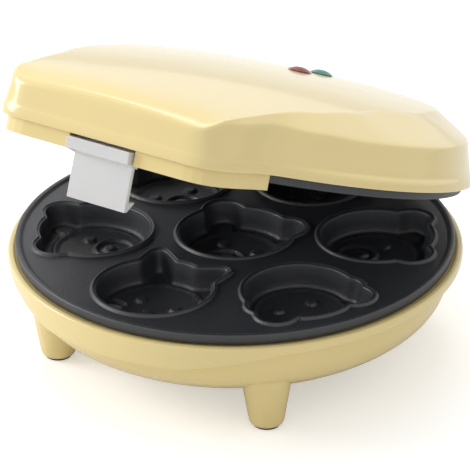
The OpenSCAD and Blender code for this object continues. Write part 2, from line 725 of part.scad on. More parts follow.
module upper_reflector() {
  color([0.78, 0.79, 0.8]) opened() difference() {
    rotate_extrude($fn = 128) polygon([
      [0, pan_top_z], [pan_flat_r, pan_top_z], [pan_r - sheet, pan_side_z],
      [pan_r - sheet, frame_top_z + seat],
      [pan_flange_r, frame_top_z + seat], [pan_flange_r, frame_top_z + seat + sheet],
      [pan_r, frame_top_z + seat + sheet], [pan_r, pan_side_z + 0.4], [pan_flat_r + 0.3, pan_top_z + sheet],
      [0, pan_top_z + sheet]]);
    at_bosses(pan_top_z - 1) cylinder(r = screw_r + 0.2, h = sheet + 2);
    at_cover_bosses() translate([0, 0, frame_top_z - 1]) cylinder(r = cover_boss_r + run, h = crown_h);
  }
}
module upper_plate_screws() {
  color([0.8, 0.8, 0.8]) opened() at_bosses(pan_top_z + sheet + seat) screw(screw_bite + sheet);
}
module cover_screws() {
  color([0.8, 0.8, 0.8]) opened() at_cover_bosses() translate([0, 0, cover_screw_z])
    mirror([0, 0, 1]) screw(frame_top_z - cover_screw_z + screw_bite - 1);
}
control_z = 2 * mirror_z - pod_z + seat;
thermostat_y = -6;
thermostat_r = 8;
thermostat_h = 7;
thermostat_base = [30, 7, 1];
terminal = [0.8, 5, 9];
terminal_x = 5;
module thermostat() {
  color([0.85, 0.83, 0.78]) opened() translate([0, thermostat_y, control_z]) {
    cylinder(r = thermostat_r, h = thermostat_h);
    translate([-thermostat_base[0] / 2, -thermostat_base[1] / 2, 0]) cube(thermostat_base);
    for (s = [-1, 1]) translate([s * terminal_x - terminal[0] / 2, -terminal[1] / 2, 0]) cube(terminal);
  }
}
fuse_y = 12;
fuse_r = 2.1;
fuse_len = 20;
fuse_wire_r = 0.6;
fuse_wire_len = 30;
module thermal_fuse() {
  color([0.9, 0.88, 0.8]) opened() {
    along_x(-fuse_len / 2, fuse_y, control_z + fuse_r) cylinder(r = fuse_r, h = fuse_len);
    along_x(-fuse_wire_len / 2, fuse_y, control_z + fuse_r) cylinder(r = fuse_wire_r, h = fuse_wire_len);
  }
}
module lens(y) {
  ball_r = (lens_r * lens_r + lens_rise * lens_rise) / (2 * lens_rise);
  at_lens(y) {
    intersection() {
      translate([0, 0, lens_rise - ball_r + 0.2]) sphere(r = ball_r);
      translate([0, 0, 0.2]) cylinder(r = lens_r - 0.1, h = lens_rise + 1);
    }
    difference() {
      translate([0, 0, -wall - 1.2]) cylinder(r = lens_seat_r, h = wall + 1.6);
      translate([0, 0, -wall - 2]) cylinder(r = lens_seat_r - 1.2, h = wall + 1.6);
    }
  }
}
module red_lens() {
  color([0.55, 0.08, 0.08]) opened() lens(red_y);
}
module green_lens() {
  color([0.1, 0.5, 0.45]) opened() lens(green_y);
}
lamp_r = 2.4;
lamp_gap = 1.6;
lamp_collar = 1.6;
module lamp(y) {
  h = rim_z + crown_face(0, y) - light_tray_z - light_tray_t - seat - lamp_r - lamp_gap;
  translate([0, y, light_tray_z + light_tray_t + seat]) {
    cylinder(r = lamp_r, h = h);
    translate([0, 0, h]) sphere(r = lamp_r);
  }
}
module red_lamp() {
  color([0.9, 0.5, 0.3]) opened() lamp(red_y);
}
module green_lamp() {
  color([0.5, 0.9, 0.6]) opened() lamp(green_y);
}
module lamp_holder() {
  color([0.9, 0.9, 0.88]) opened() difference() {
    union() {
      translate([-light_tray_edge, red_y - light_tray_edge, light_tray_z])
        cube([2 * light_tray_edge, green_y - red_y + 2 * light_tray_edge, light_tray_t]);
      for (y = [red_y, green_y]) translate([0, y, light_tray_z + eps])
        cylinder(r = lamp_r + lamp_collar, h = light_tray_t + 2);
    }
    for (y = [red_y, green_y]) translate([0, y, light_tray_z + light_tray_t])
      cylinder(r = lamp_r + pin_fit, h = light_tray_t + 2);
  }
}

// ---- latch and pins ----

latch_end_fit = 0.4;
barrel_latch_r = 2.6;
tab_drop = 0.3;
tab_w = latch_w + 2 * tab_over;
module latch() {
  color([0.92, 0.93, 0.95]) opened() difference() {
    union() {
      rotate([90, 0, -90]) linear_extrude(latch_w, center = true) polygon([
        [latch_plate_y, latch_z], [latch_plate_y, latch_low_z + 3.2], [hook_tip_y, hook_z],
        [hook_tip_y, hook_z - 0.8], [latch_plate_y, latch_low_z], [latch_front_y, latch_low_z],
        [latch_front_y, latch_z]]);
      rotate([90, 0, -90]) linear_extrude(tab_w, center = true) polygon([
        [latch_plate_y, latch_z - tab_drop], [latch_plate_y, latch_z - tab_drop - tab_face_h - 2.6],
        [latch_front_y, latch_z - tab_drop - tab_face_h - 1.8],
        [latch_front_y + tab_reach, latch_z - tab_drop - tab_face_h],
        [latch_front_y + tab_reach, latch_z - tab_drop]]);
      along_x(-tab_w / 2, -latch_y, latch_z) cylinder(r = barrel_latch_r, h = tab_w);
    }
    along_x(-tab_w, -latch_y, latch_z) cylinder(r = latch_pin_r + pin_fit, h = 2 * tab_w);
  }
}
module latch_pin() {
  color([0.8, 0.8, 0.8]) opened()
    along_x(-cheek_x + latch_end_fit, -latch_y, latch_z)
      cylinder(r = latch_pin_r, h = 2 * (cheek_x - latch_end_fit));
}
hinge_pin_half = ear_offset + ear_w;
module hinge_pin(s) {
  // A pin through the ears, with its head outside them at the end towards s
  translate([s * hinge_x, 0, 0]) mirror([s > 0 ? 0 : 1, 0, 0]) {
    along_x(-hinge_pin_half, hinge_y, hinge_z) cylinder(r = pin_r, h = 2 * hinge_pin_half + seat + eps);
    along_x(hinge_pin_half + seat, hinge_y, hinge_z) cylinder(r = pin_r + 0.9, h = 1);
  }
}
module hinge_pin_left() {
  color([0.8, 0.8, 0.8]) hinge_pin(-1);
}
module hinge_pin_right() {
  color([0.8, 0.8, 0.8]) hinge_pin(1);
}

lower_shell();
foot_pads();
lower_plate();
lower_heater();
lower_heater_clamps();
lower_clamp_screws();
lower_reflector();
base_screws();
cord_gland();
terminal_block();
upper_cover();
lid_frame();
upper_plate();
upper_heater();
upper_heater_clamps();
upper_clamp_screws();
upper_reflector();
upper_plate_screws();
cover_screws();
thermostat();
thermal_fuse();
red_lens();
green_lens();
red_lamp();
green_lamp();
lamp_holder();
latch();
latch_pin();
hinge_pin_left();
hinge_pin_right();
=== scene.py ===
"""Looks for the small cake maker: shells, plates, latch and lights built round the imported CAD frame."""
import bmesh
import bpy
import math
import numpy as np
from mathutils import Matrix, Vector, geometry


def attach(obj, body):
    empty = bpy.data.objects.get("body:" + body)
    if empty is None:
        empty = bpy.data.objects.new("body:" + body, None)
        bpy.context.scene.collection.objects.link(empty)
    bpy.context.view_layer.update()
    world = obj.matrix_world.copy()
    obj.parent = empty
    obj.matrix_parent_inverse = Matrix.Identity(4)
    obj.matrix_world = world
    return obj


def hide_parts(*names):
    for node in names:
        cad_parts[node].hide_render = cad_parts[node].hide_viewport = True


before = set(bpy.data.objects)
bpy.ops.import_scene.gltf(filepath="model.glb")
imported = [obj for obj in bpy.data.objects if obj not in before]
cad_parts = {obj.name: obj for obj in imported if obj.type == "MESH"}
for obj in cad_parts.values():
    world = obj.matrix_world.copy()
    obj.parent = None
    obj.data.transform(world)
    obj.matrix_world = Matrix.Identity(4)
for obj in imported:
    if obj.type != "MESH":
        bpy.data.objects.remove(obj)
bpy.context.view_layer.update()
MM = 0.001

# ---- driving dimensions, in millimetres, as in the part's source ----
PLATE_R = 103.0
CONTACT_Z = 55.0
PLATE_FLOOR_DROP = 1.4
PLATE_GAP = 0.3
MOULD_RING_R = 66.02
FACE_R = 26.0
LIP_R = 106.8
LIP_TOP_Z = 50.3
LIP_LOW_Z = 45.4
CHIN_Z = 37.4
CHIN_HALF_W = 36.0
CHIN_END_HALF_W = 76.0
WALL = 2.5
BOWL_R = 100.5
BOWL_Z = 12.0
BOWL_CENTRE_R = 55.0
BOWL_RIM_Z = 37.0
FOOT_RING_R = 86.0
FOOT_ANGLE = 43.0
LID_REST = 20.7
LID_FRONT = 120.2
LID_R = 107.8
RIM_Z = 59.6
CROWN_H = 33.0
CROWN_CURVE_X = 1438.0
CROWN_CURVE_Y = 1473.0
CROWN_BACK = 7.0
FRONT_ROLL_Y = LID_FRONT - 14.3
FRONT_ROLL = 0.00216
# Steps round the lid: the angle from the front in degrees, and the value there
WALL_STEPS = [(22, 16.3), (28, 20.0), (36, 21.2), (48, 20.2), (64, 19.1), (90, 19.1), (180, 20.8)]
TOP_INSET_STEPS = [(22, 1), (30, 4), (42, 5.6), (60, 8), (100, 6.5), (180, 5.5)]
BEVEL_STEPS = [(16, 2.8), (24, 1.31), (30, 0.69), (36, 0.74), (46, 0.51), (60, 0.46), (80, 0.36), (110, 0.43),
               (180, 1.18)]
HINGE_Y = 112.0
HINGE_Z = 54.3
LATCH_Y = 110.4
LATCH_Z = 58.5
LATCH_W = 31.0
TAB_OVER = 1.2
TAB_DROP = 0.3
TAB_FACE_H = 5.2
TAB_REACH = 6.2
LATCH_T = 2.3
LATCH_LOW_Z = 31.2
RED_Y = 38.1
GREEN_Y = 59.2
LENS_R = 6.0
LENS_RISE = 2.2
MIRROR_Z = CONTACT_Z + PLATE_GAP / 2
SHELL_COLUMNS = 288
PLATE_COLUMNS = 360
FOOT_COLUMNS = 48
LENS_COLUMNS = 64
SPAN_STEPS = 4


# ---- mesh helpers ----
def opened(points):
    """Turns points drawn with the lid closed to where the lid stands ajar."""
    angle = math.radians(LID_REST)
    p = np.array(points, dtype=float)
    y, z = p[..., 1] - HINGE_Y, p[..., 2] - HINGE_Z
    out = p.copy()
    out[..., 1] = HINGE_Y + y * math.cos(angle) + z * math.sin(angle)
    out[..., 2] = HINGE_Z - y * math.sin(angle) + z * math.cos(angle)
    return out


def spline_rows(rows, per_span):
    """A clamped cubic B-spline through a list of control rows."""
    ctrl = np.array([rows[0]] * 2 + list(rows) + [rows[-1]] * 2, dtype=float)
    out = []
    for i in range(len(ctrl) - 3):
        for t in np.arange(per_span) / per_span:
            w = ((1 - t) ** 3 / 6, (3 * t ** 3 - 6 * t ** 2 + 4) / 6,
                 (-3 * t ** 3 + 3 * t ** 2 + 3 * t + 1) / 6, t ** 3 / 6)
            out.append(sum(w[j] * ctrl[i + j] for j in range(4)))
    out.append(ctrl[-1])
    return np.array(out)


def grid_faces(rows, columns, start=0, close_rows=False):
    """Quads of a grid whose columns run round in a loop."""
    faces = []
    for k in range(rows if close_rows else rows - 1):
        low, high = start + k * columns, start + ((k + 1) % rows) * columns
        for i in range(columns):
            j = (i + 1) % columns
            faces.append((low + i, low + j, high + j, high + i))
    return faces


def make_piece(name, points, faces, material):
    """A mesh object from points in millimetres, with doubles merged and normals outward."""
    mesh = bpy.data.meshes.new(name)
    mesh.from_pydata([tuple(p) for p in np.array(points, dtype=float) * MM], [], faces)
    piece = bpy.data.objects.new(name, mesh)
    bpy.context.scene.collection.objects.link(piece)
    bpy.context.view_layer.objects.active = piece
    work = bmesh.new()
    work.from_mesh(mesh)
    bmesh.ops.remove_doubles(work, verts=work.verts, dist=2e-6)
    bmesh.ops.recalc_face_normals(work, faces=work.faces)
    work.to_mesh(mesh)
    work.free()
    for polygon in mesh.polygons:
        polygon.use_smooth = True
    mesh.materials.append(material)
    return piece


def apply_modifiers(piece):
    """Turns the piece's modifiers into plain mesh."""
    depsgraph = bpy.context.evaluated_depsgraph_get()
    mesh = bpy.data.meshes.new_from_object(piece.evaluated_get(depsgraph))
    piece.modifiers.clear()
    piece.data = mesh


def bevelled(piece, width):
    """Rounds the sharp edges of a piece by a width in millimetres."""
    bevel = piece.modifiers.new("bevel", "BEVEL")
    bevel.width = width * MM
    bevel.segments = 3
    bevel.limit_method = "ANGLE"
    bevel.angle_limit = math.radians(30)
    bevel.harden_normals = True
    apply_modifiers(piece)
    return piece


def lathe(profile, columns, centre=(0, 0), per_span=0):
    """Points and faces of a turned shape. The profile is (radius, height) pairs."""
    rows = spline_rows(profile, per_span) if per_span else np.array(profile, dtype=float)
    a = np.arange(columns) * 2 * math.pi / columns
    points = [(centre[0] + r * math.sin(t), centre[1] - r * math.cos(t), z) for r, z in rows for t in a]
    return points, grid_faces(len(rows), columns)


# ---- materials ----
DRIFT_SCALE = 22.0
GRAIN_DEPTH = 0.0004


def new_material(name, colour, rough, metal=0.0, coat=0.0, grain=0.0, grain_scale=600.0, tint=0.04,
                 rough_swing=0.05, **sockets):
    """A principled material with fine grain, a slight colour drift and a roughness drift."""
    material = bpy.data.materials.new(name)
    material.use_nodes = True
    nodes, links = material.node_tree.nodes, material.node_tree.links
    shader = nodes["Principled BSDF"]
    shader.inputs["Metallic"].default_value = metal
    shader.inputs["Coat Weight"].default_value = coat
    for key, value in sockets.items():
        shader.inputs[key.replace("_", " ")].default_value = value
    place = nodes.new("ShaderNodeTexCoord")
    drift = nodes.new("ShaderNodeTexNoise")
    drift.inputs["Scale"].default_value = DRIFT_SCALE
    drift.inputs["Detail"].default_value = 5.0
    links.new(place.outputs["Object"], drift.inputs["Vector"])
    ramp = nodes.new("ShaderNodeValToRGB")
    low = [c * (1 - tint) for c in colour]
    high = [min(1, c * (1 + tint)) for c in colour]
    for element, position, shade in zip(ramp.color_ramp.elements, (0.3, 0.7), (low, high)):
        element.position = position
        element.color = (*shade, 1)
    links.new(drift.outputs["Fac"], ramp.inputs["Fac"])
    links.new(ramp.outputs["Color"], shader.inputs["Base Color"])
    swing = nodes.new("ShaderNodeMapRange")
    swing.inputs["To Min"].default_value = max(0.0, rough - rough_swing)
    swing.inputs["To Max"].default_value = min(1.0, rough + rough_swing)
    links.new(drift.outputs["Fac"], swing.inputs["Value"])
    links.new(swing.outputs["Result"], shader.inputs["Roughness"])
    if grain:
        fine = nodes.new("ShaderNodeTexNoise")
        fine.inputs["Scale"].default_value = grain_scale
        fine.inputs["Detail"].default_value = 4.0
        links.new(place.outputs["Object"], fine.inputs["Vector"])
        bump = nodes.new("ShaderNodeBump")
        bump.inputs["Strength"].default_value = grain
        bump.inputs["Distance"].default_value = GRAIN_DEPTH
        links.new(fine.outputs["Fac"], bump.inputs["Height"])
        links.new(bump.outputs["Normal"], shader.inputs["Normal"])
    return material


YELLOW = (0.86, 0.695, 0.315)
shell_gloss = new_material(
    "shell_gloss", YELLOW, 0.2, coat=0.5, grain=0.02, grain_scale=260, tint=0.012, rough_swing=0.02,
    Coat_Roughness=0.06)
frame_satin = new_material("frame_satin", YELLOW, 0.32, coat=0.1, grain=0.04, grain_scale=500, tint=0.02)
non_stick = new_material(
    "non_stick", (0.032, 0.034, 0.040), 0.42, grain=0.5, grain_scale=1400, tint=0.12, rough_swing=0.08,
    Specular_IOR_Level=0.7)
latch_white = new_material(
    "latch_white", (0.88, 0.875, 0.87), 0.3, coat=0.15, grain=0.05, grain_scale=300, tint=0.02,
    Subsurface_Weight=0.25, Subsurface_Scale=0.004, Transmission_Weight=0.25)
red_clear = new_material(
    "red_clear", (0.32, 0.02, 0.015), 0.12, coat=0.4, tint=0.08, Transmission_Weight=0.4)
green_clear = new_material(
    "green_clear", (0.02, 0.30, 0.26), 0.12, coat=0.4, tint=0.08, Transmission_Weight=0.4)
black_rubber = new_material("black_rubber", (0.02, 0.02, 0.02), 0.75, grain=0.3, grain_scale=900)
zinc_steel = new_material("zinc_steel", (0.55, 0.55, 0.56), 0.3, metal=1.0, grain=0.15, grain_scale=900)
sheet_steel = new_material("sheet_steel", (0.5, 0.5, 0.49), 0.38, metal=1.0, grain=0.2, grain_scale=700)
bright_sheet = new_material("bright_sheet", (0.75, 0.75, 0.76), 0.25, metal=1.0, grain=0.2, grain_scale=500)
hot_tube = new_material("hot_tube", (0.2, 0.18, 0.16), 0.45, metal=0.9, grain=0.3, grain_scale=800, tint=0.2)
white_plastic = new_material("white_plastic", (0.75, 0.75, 0.7), 0.4, grain=0.1, grain_scale=600)
ceramic = new_material("ceramic", (0.68, 0.64, 0.56), 0.5, grain=0.25, grain_scale=900)
lamp_glass = new_material("lamp_glass", (0.9, 0.8, 0.7), 0.05, tint=0.02, Transmission_Weight=0.9)


# ---- lid cover: the same skin as the part's source, with finer rows ----
def ease(t):
    """A smooth step from 0 to 1 as t goes from 0 to 1."""
    return (1 - np.cos(np.pi * np.clip(t, 0, 1))) / 2


def fold(a):
    """The angle from the front in degrees, the same on both sides."""
    a = np.mod(a, 360.0)
    return np.where(a > 180, 360 - a, a)


CORNER_A = 23.3
CORNER_W = 16.5
CORNER_SOFT = 3
MIN_BEVEL_W = 1.5
CREASE_FADE_W = 8
WALL_FOOT_H = 5.6
FIRST_CROWN_RING = 9


def raw_r(a, front, round_r):
    """Radius of a round outline with a straight front, before its corners are softened."""
    b = fold(a)
    peak = front / math.cos(math.radians(CORNER_A)) - round_r
    return np.where(b < CORNER_A, front / np.cos(np.radians(np.minimum(b, CORNER_A))),
                    round_r + peak * (1 - ease((b - CORNER_A) / CORNER_W)))


def soft_r(a, front, round_r):
    """The same radius with soft corners."""
    before, here, after = (raw_r(a + d, front, round_r) for d in (-CORNER_SOFT, 0, CORNER_SOFT))
    return (before + 2 * here + after) / 4


def stepped(b, steps):
    """A value that eases from step to step; each step is an angle from the front and the value there."""
    out = np.full(np.shape(b), float(steps[0][1]))
    for (b0, v0), (b1, v1) in zip(steps, steps[1:]):
        out = np.where(b > b0, v0 + (v1 - v0) * ease((b - b0) / (b1 - b0)), out)
    return out


def crown_face(x, y):
    """Height of the crown's dome over the rim."""
    roll = FRONT_ROLL * np.maximum(0, -y - FRONT_ROLL_Y) ** 3
    return CROWN_H - x * x / CROWN_CURVE_X - (y - CROWN_BACK) ** 2 / CROWN_CURVE_Y - roll


def crown_at(a, r):
    """The same height at an angle from the front and a radius."""
    return crown_face(r * np.sin(np.radians(a)), -r * np.cos(np.radians(a)))


def lip_share(a):
    """How far the bead of the rim stands out: 0 at the front, 1 at the sides and the back."""
    return ease((fold(a) - 36) / 22)


def wall_inset(a):
    """How far the wall's foot lies inside the rim."""
    return 0.6 + 2.2 * lip_share(a)


def wall_top_r(a):
    """Radius of the crease between the wall and the bevel."""
    return soft_r(a, LID_FRONT, LID_R) - stepped(fold(a), TOP_INSET_STEPS)


def bevel_h(a, r):
    """Height of the bevel over the rim."""
    return stepped(fold(a), WALL_STEPS) + stepped(fold(a), BEVEL_STEPS) * (wall_top_r(a) - r)


def crown_edge_r(a):
    """Radius at which the bevel meets the crown, found by halving."""
    low, high = np.zeros(len(a)), np.full(len(a), 140.0)
    for _ in range(20):
        middle = (low + high) / 2
        over = bevel_h(a, middle) > crown_at(a, middle)
        low, high = np.where(over, middle, low), np.where(over, high, middle)
    return low


def skin_rows(a, inset_by):
    """Rings of the lid's skin from the rim to the crown's middle, in the closed place."""
    base = soft_r(a, LID_FRONT, LID_R)
    lip = lip_share(a)
    wall_r, top_r = base - wall_inset(a), wall_top_r(a)
    cr = np.minimum(crown_edge_r(a), top_r - MIN_BEVEL_W)
    eh = np.minimum(crown_at(a, top_r), bevel_h(a, top_r))
    crease = np.minimum(1, (top_r - cr) / CREASE_FADE_W)
    lean = (wall_r - top_r) / (eh - WALL_FOOT_H)
    s, c = np.sin(np.radians(a)), -np.cos(np.radians(a))
    # The rim with its bead, then the leaning wall and its rounded top
    rings = [(base - 0.5, 0 * a), (base, 0.5 + 0 * a), (base + 0.05, 2.0 + 0 * a),
             (base - 0.1 - 0.2 * lip, 3.6 + 0 * a), (base - 0.3 - 1.0 * lip, 4.7 + 0 * a),
             (wall_r + 0.2 * lip, 5.4 + 0 * a), (wall_r - 0.1, 6.6 + 0 * a),
             ((wall_r + top_r) / 2, (eh + WALL_FOOT_H) / 2), (top_r + 4.6 * lean, eh - 4.6),
             (top_r + 2.4 * lean, eh - 2.4), (top_r + 0.4 * lean, eh - 0.7)]
    # The bevel, the crease at the crown's edge, and the crown
    on_top = [top_r - 0.4, top_r - 0.4 - 0.25 * (top_r - cr), top_r - (top_r - cr) * 0.5,
              top_r - (top_r - cr) * 0.75]
    on_top += [cr + d * crease for d in (1.6, 0.2, -1.2, -4)] + [cr * t for t in (0.93, 0.8, 0.6, 0.4, 0.2)]
    for r in on_top:
        rings.append((r, np.minimum(crown_at(a, r), bevel_h(a, r))))
    out = []
    for i, (r, h) in enumerate(rings):
        r = np.maximum(0, r - inset_by)
        h = np.maximum(0, h - (inset_by if i >= FIRST_CROWN_RING else 0))
        out.append(np.stack([r * s, r * c, RIM_Z + h], axis=-1))
    return out


def build_cover():
    """The lid's cover: the outer skin, and the inner one a wall's thickness inside it."""
    a = np.arange(SHELL_COLUMNS) * 360.0 / SHELL_COLUMNS
    top = np.tile([0.0, 0.0, RIM_Z + crown_face(0, 0)], (SHELL_COLUMNS, 1))
    outer = spline_rows(skin_rows(a, 0) + [top], SPAN_STEPS)
    inner = spline_rows([top - [0, 0, WALL]] + skin_rows(a, WALL)[::-1], 1)
    rows = np.concatenate([outer, inner])
    faces = grid_faces(len(rows), SHELL_COLUMNS, close_rows=True)
    faces = [f for f in faces if f[0] // SHELL_COLUMNS != len(outer) - 1]
    cover = make_piece("lid_cover_shell", opened(rows.reshape(-1, 3)), faces, shell_gloss)
    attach(cover, "lid")
    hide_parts("upper_cover")


# ---- lower shell: a bowl whose lip drops into a chin at the front ----
# Radius and height of a foot, from its sole up into the bowl
FOOT_PROFILE = [(0, 1.0), (5.9, 1.0), (7.0, 1.1), (7.9, 2.2), (8.3, 4), (8.9, 8), (10.2, 16), (11.4, 24),
                (11.8, 28), (0, 28)]


def chin_low(a):
    """Height of the lip's lower edge."""
    x = np.abs(LIP_R * np.sin(np.radians(a)))
    at_front = np.cos(np.radians(a)) > 0
    slope = (x - CHIN_HALF_W) / (CHIN_END_HALF_W - CHIN_HALF_W)
    return np.where(at_front, CHIN_Z + (LIP_LOW_Z - CHIN_Z) * np.clip(slope, 0, 1), LIP_LOW_Z)


def build_lower_shell():
    """The bowl with its lip and chin outside, its inner wall, and four turned feet."""
    a = np.arange(SHELL_COLUMNS) * 360.0 / SHELL_COLUMNS
    s, c = np.sin(np.radians(a)), -np.cos(np.radians(a))
    low = chin_low(a)

    def row(r, z):
        return np.stack([r * s, r * c, z + 0 * a], axis=-1)

    def arc(inset, t):
        r = BOWL_CENTRE_R + (BOWL_R - BOWL_CENTRE_R - inset) * math.sin(math.radians(t))
        return r, BOWL_RIM_Z - (BOWL_RIM_Z - BOWL_Z - inset) * math.cos(math.radians(t))

    under = np.minimum(BOWL_RIM_Z, low - 2.2)
    seat_z = LIP_TOP_Z - 0.8
    outer = [row(0, BOWL_Z), row(28, BOWL_Z), row(46, BOWL_Z)]
    outer += [row(*arc(0, t)) for t in (0, 12, 24, 36, 48, 60, 70)]
    # Up the bowl to the lip, round the lip, and back to the seat of the plate
    outer += [row(BOWL_R - 0.3, under - 3.2), row(BOWL_R, under), row(BOWL_R, low - 0.9),
              row(BOWL_R + 0.5, low), row(LIP_R - 1.4, low), row(LIP_R - 0.2, low + 0.2),
              row(LIP_R, low + 1.6), row(LIP_R, (low + LIP_TOP_Z) / 2), row(LIP_R, LIP_TOP_Z - 1.5),
              row(LIP_R - 0.3, LIP_TOP_Z - 0.2), row(LIP_R - 1.6, LIP_TOP_Z), row(PLATE_R + 0.9, LIP_TOP_Z),
              row(PLATE_R + 0.5, seat_z), row(PLATE_R - 1, seat_z), row(BOWL_R - 2, seat_z),
              row(BOWL_R - WALL, LIP_TOP_Z - 2)]
    inner = [row(*arc(WALL, t)) for t in (90, 75, 60, 45, 30, 15, 0)]
    inner += [row(30, BOWL_Z + WALL), row(0, BOWL_Z + WALL)]
    rows = spline_rows(outer + inner, SPAN_STEPS)
    points = list(rows.reshape(-1, 3))
    faces = grid_faces(len(rows), SHELL_COLUMNS)
    for angle in (FOOT_ANGLE, -FOOT_ANGLE, 180 - FOOT_ANGLE, 180 + FOOT_ANGLE):
        centre = (FOOT_RING_R * math.sin(math.radians(angle)), -FOOT_RING_R * math.cos(math.radians(angle)))
        foot_points, foot_faces = lathe(FOOT_PROFILE, FOOT_COLUMNS, centre, per_span=3)
        start = len(points)
        points += foot_points
        faces += [tuple(start + i for i in f) for f in foot_faces]
    shell = make_piece("base_bowl_shell", points, faces, shell_gloss)
    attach(shell, "base")
    return shell


# ---- hinge ears of the base, which stay as crisp blocks ----
def side_profile(name, outline, x0, x1, material, bevel):
    """A solid with a side outline of (y, z) points, drawn out between two x places."""
    n = len(outline)
    points = [(x0, y, z) for y, z in outline] + [(x1, y, z) for y, z in outline]
    faces = [tuple(range(n))[::-1], tuple(range(n, 2 * n))]
    faces += [(i, (i + 1) % n, n + (i + 1) % n, n + i) for i in range(n)]
    piece = make_piece(name, points, faces, material)
    return bevelled(piece, bevel)


HINGE_X = 30.0
KNUCKLE_W = 10.0
EAR_GAP = 0.3
EAR_W = 4.6
BARREL_R = 4.4
EAR_ROUND = 0.5


def build_hinge_ears():
    """Four ears at the back, one at each side of the lid's two knuckles."""
    ears = []
    for side in (-1, 1):
        for end in (-1, 1):
            middle = side * HINGE_X + end * (KNUCKLE_W / 2 + EAR_GAP + EAR_W / 2)
            start = math.sqrt((BOWL_R - 1) ** 2 - (abs(middle) + EAR_W / 2) ** 2)
            barrel = [(HINGE_Y + BARREL_R * math.cos(t), HINGE_Z + BARREL_R * math.sin(t))
                      for t in np.radians(np.arange(0, 181, 12))]
            outline = [(start, LIP_TOP_Z - 0.3), (start, LIP_LOW_Z - 2), (HINGE_Y + BARREL_R, LIP_LOW_Z - 2)]
            outline += barrel + [(HINGE_Y - BARREL_R, LIP_TOP_Z - 0.3)]
            hand, place = "left" if side < 0 else "right", "inner" if side * end < 0 else "outer"
            ear = side_profile("hinge_ear_%s_%s" % (hand, place), outline, middle - EAR_W / 2,
                               middle + EAR_W / 2, shell_gloss, EAR_ROUND)
            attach(ear, "base")
            ears.append(ear)
    return ears


# ---- plates with their moulds ----
OUTLINE_STEPS = 180
RAY_STEPS = 90
RAY_PLAY = 0.06
EAR_OFF = 24.0
CAT_EAR = [(-10, 18), (-7, 27), (-2.2, 36.5), (2.2, 36.5), (7, 27), (10, 18)]
# Kind of face in each mould (0 bear, 1 cat, 2 dog), the middle one first, and its turn in degrees
FACES_KIND = [0, 1, 2, 0, 2, 0, 0]
FACES_TURN = [0, 0, 60, 300, 180, 60, 120]


def ray_circle(direction, x, y, r):
    """How far from the centre a ray leaves a circle, or zero where it misses."""
    along = direction[:, 0] * x + direction[:, 1] * y
    gap = r * r - (x * x + y * y - along * along)
    return np.where(gap > 0, along + np.sqrt(np.maximum(gap, 0)), 0)


def ray_polygon(direction, polygon):
    """How far from the centre a ray leaves a polygon, or zero where it misses."""
    best = np.zeros(len(direction))
    for i, (ax, ay) in enumerate(polygon):
        bx, by = polygon[(i + 1) % len(polygon)]
        ex, ey = bx - ax, by - ay
        det = direction[:, 0] * -ey + direction[:, 1] * ex
        safe = np.where(np.abs(det) < 1e-9, 1, det)
        t = (ax * -ey + ay * ex) / safe
        u = (direction[:, 0] * ay - direction[:, 1] * ax) / safe
        best = np.maximum(best, np.where((np.abs(det) > 1e-9) & (t > 0) & (u >= 0) & (u <= 1), t, 0))
    return best


def turn(x, y, degrees):
    """The point (x, y) turned about the centre."""
    t = math.radians(degrees)
    return x * math.cos(t) - y * math.sin(t), x * math.sin(t) + y * math.cos(t)


def face_outline(kind):
    """Points along a mould's edge, one in each direction from its centre."""
    t = np.arange(OUTLINE_STEPS) * 2 * math.pi / OUTLINE_STEPS
    direction = np.stack([np.cos(t), np.sin(t)], axis=-1)
    r = ray_circle(direction, 0, 0, FACE_R if kind < 2 else FACE_R - 1)
    for s in (-1, 1):
        if kind == 0:
            r = np.maximum(r, ray_circle(direction, *turn(0, EAR_OFF, s * 46), 9))
        if kind == 1:
            r = np.maximum(r, ray_polygon(direction, [turn(x, y, s * 31) for x, y in CAT_EAR]))
        if kind == 2:
            r = np.maximum(r, ray_circle(direction, *turn(0, EAR_OFF + 0.8, s * 128), 8.2))
            r = np.maximum(r, ray_circle(direction, *turn(0, EAR_OFF - 2.5, s * 105), 7))
    for _ in range(2):
        r = (np.roll(r, 1) + 2 * r + np.roll(r, -1)) / 4
    return direction * r[:, None]


def offset_loop(loop, d):
    """The outline moved out by d square to itself."""
    tangent = np.roll(loop, -1, axis=0) - np.roll(loop, 1, axis=0)
    tangent /= np.linalg.norm(tangent, axis=1)[:, None]
    return loop + np.stack([tangent[:, 1], -tangent[:, 0]], axis=-1) * d


def drawn_in(loop, d):
    """The outline drawn inwards by d along each ray, without folds at the narrow ears."""
    share = np.linspace(1, 0.5, RAY_STEPS)
    spots = loop[None] * share[:, None, None]
    gap = np.min(np.linalg.norm(spots[:, :, None] - loop[None, None], axis=-1), axis=-1)
    kept = share[np.argmax(gap >= d - RAY_PLAY, axis=0)]
    for _ in range(2):
        kept = np.minimum(kept, (np.roll(kept, 1) + 2 * kept + np.roll(kept, -1)) / 4)
    return loop * kept[:, None]


def bump_disc(p, x, y, r, soft=0.8):
    """1 on a disc and 0 off it, with a soft edge."""
    d = np.hypot(p[:, 0] - x, p[:, 1] - y)
    return ease((r + soft / 2 - d) / soft)


def bump_ring(p, x, y, r, width, soft=0.7):
    """The same for a ring."""
    d = np.abs(np.hypot(p[:, 0] - x, p[:, 1] - y) - r)
    return ease((width / 2 + soft / 2 - d) / soft)


def bump_bar(p, x, y, half_length, half_width, degrees, soft=0.6):
    """The same for a bar with round ends."""
    t = math.radians(degrees)
    dx, dy = p[:, 0] - x, p[:, 1] - y
    along = np.maximum(0, np.abs(dx * math.cos(t) + dy * math.sin(t)) - half_length)
    across = np.abs(-dx * math.sin(t) + dy * math.cos(t))
    return ease((half_width + soft / 2 - np.hypot(along, across)) / soft)


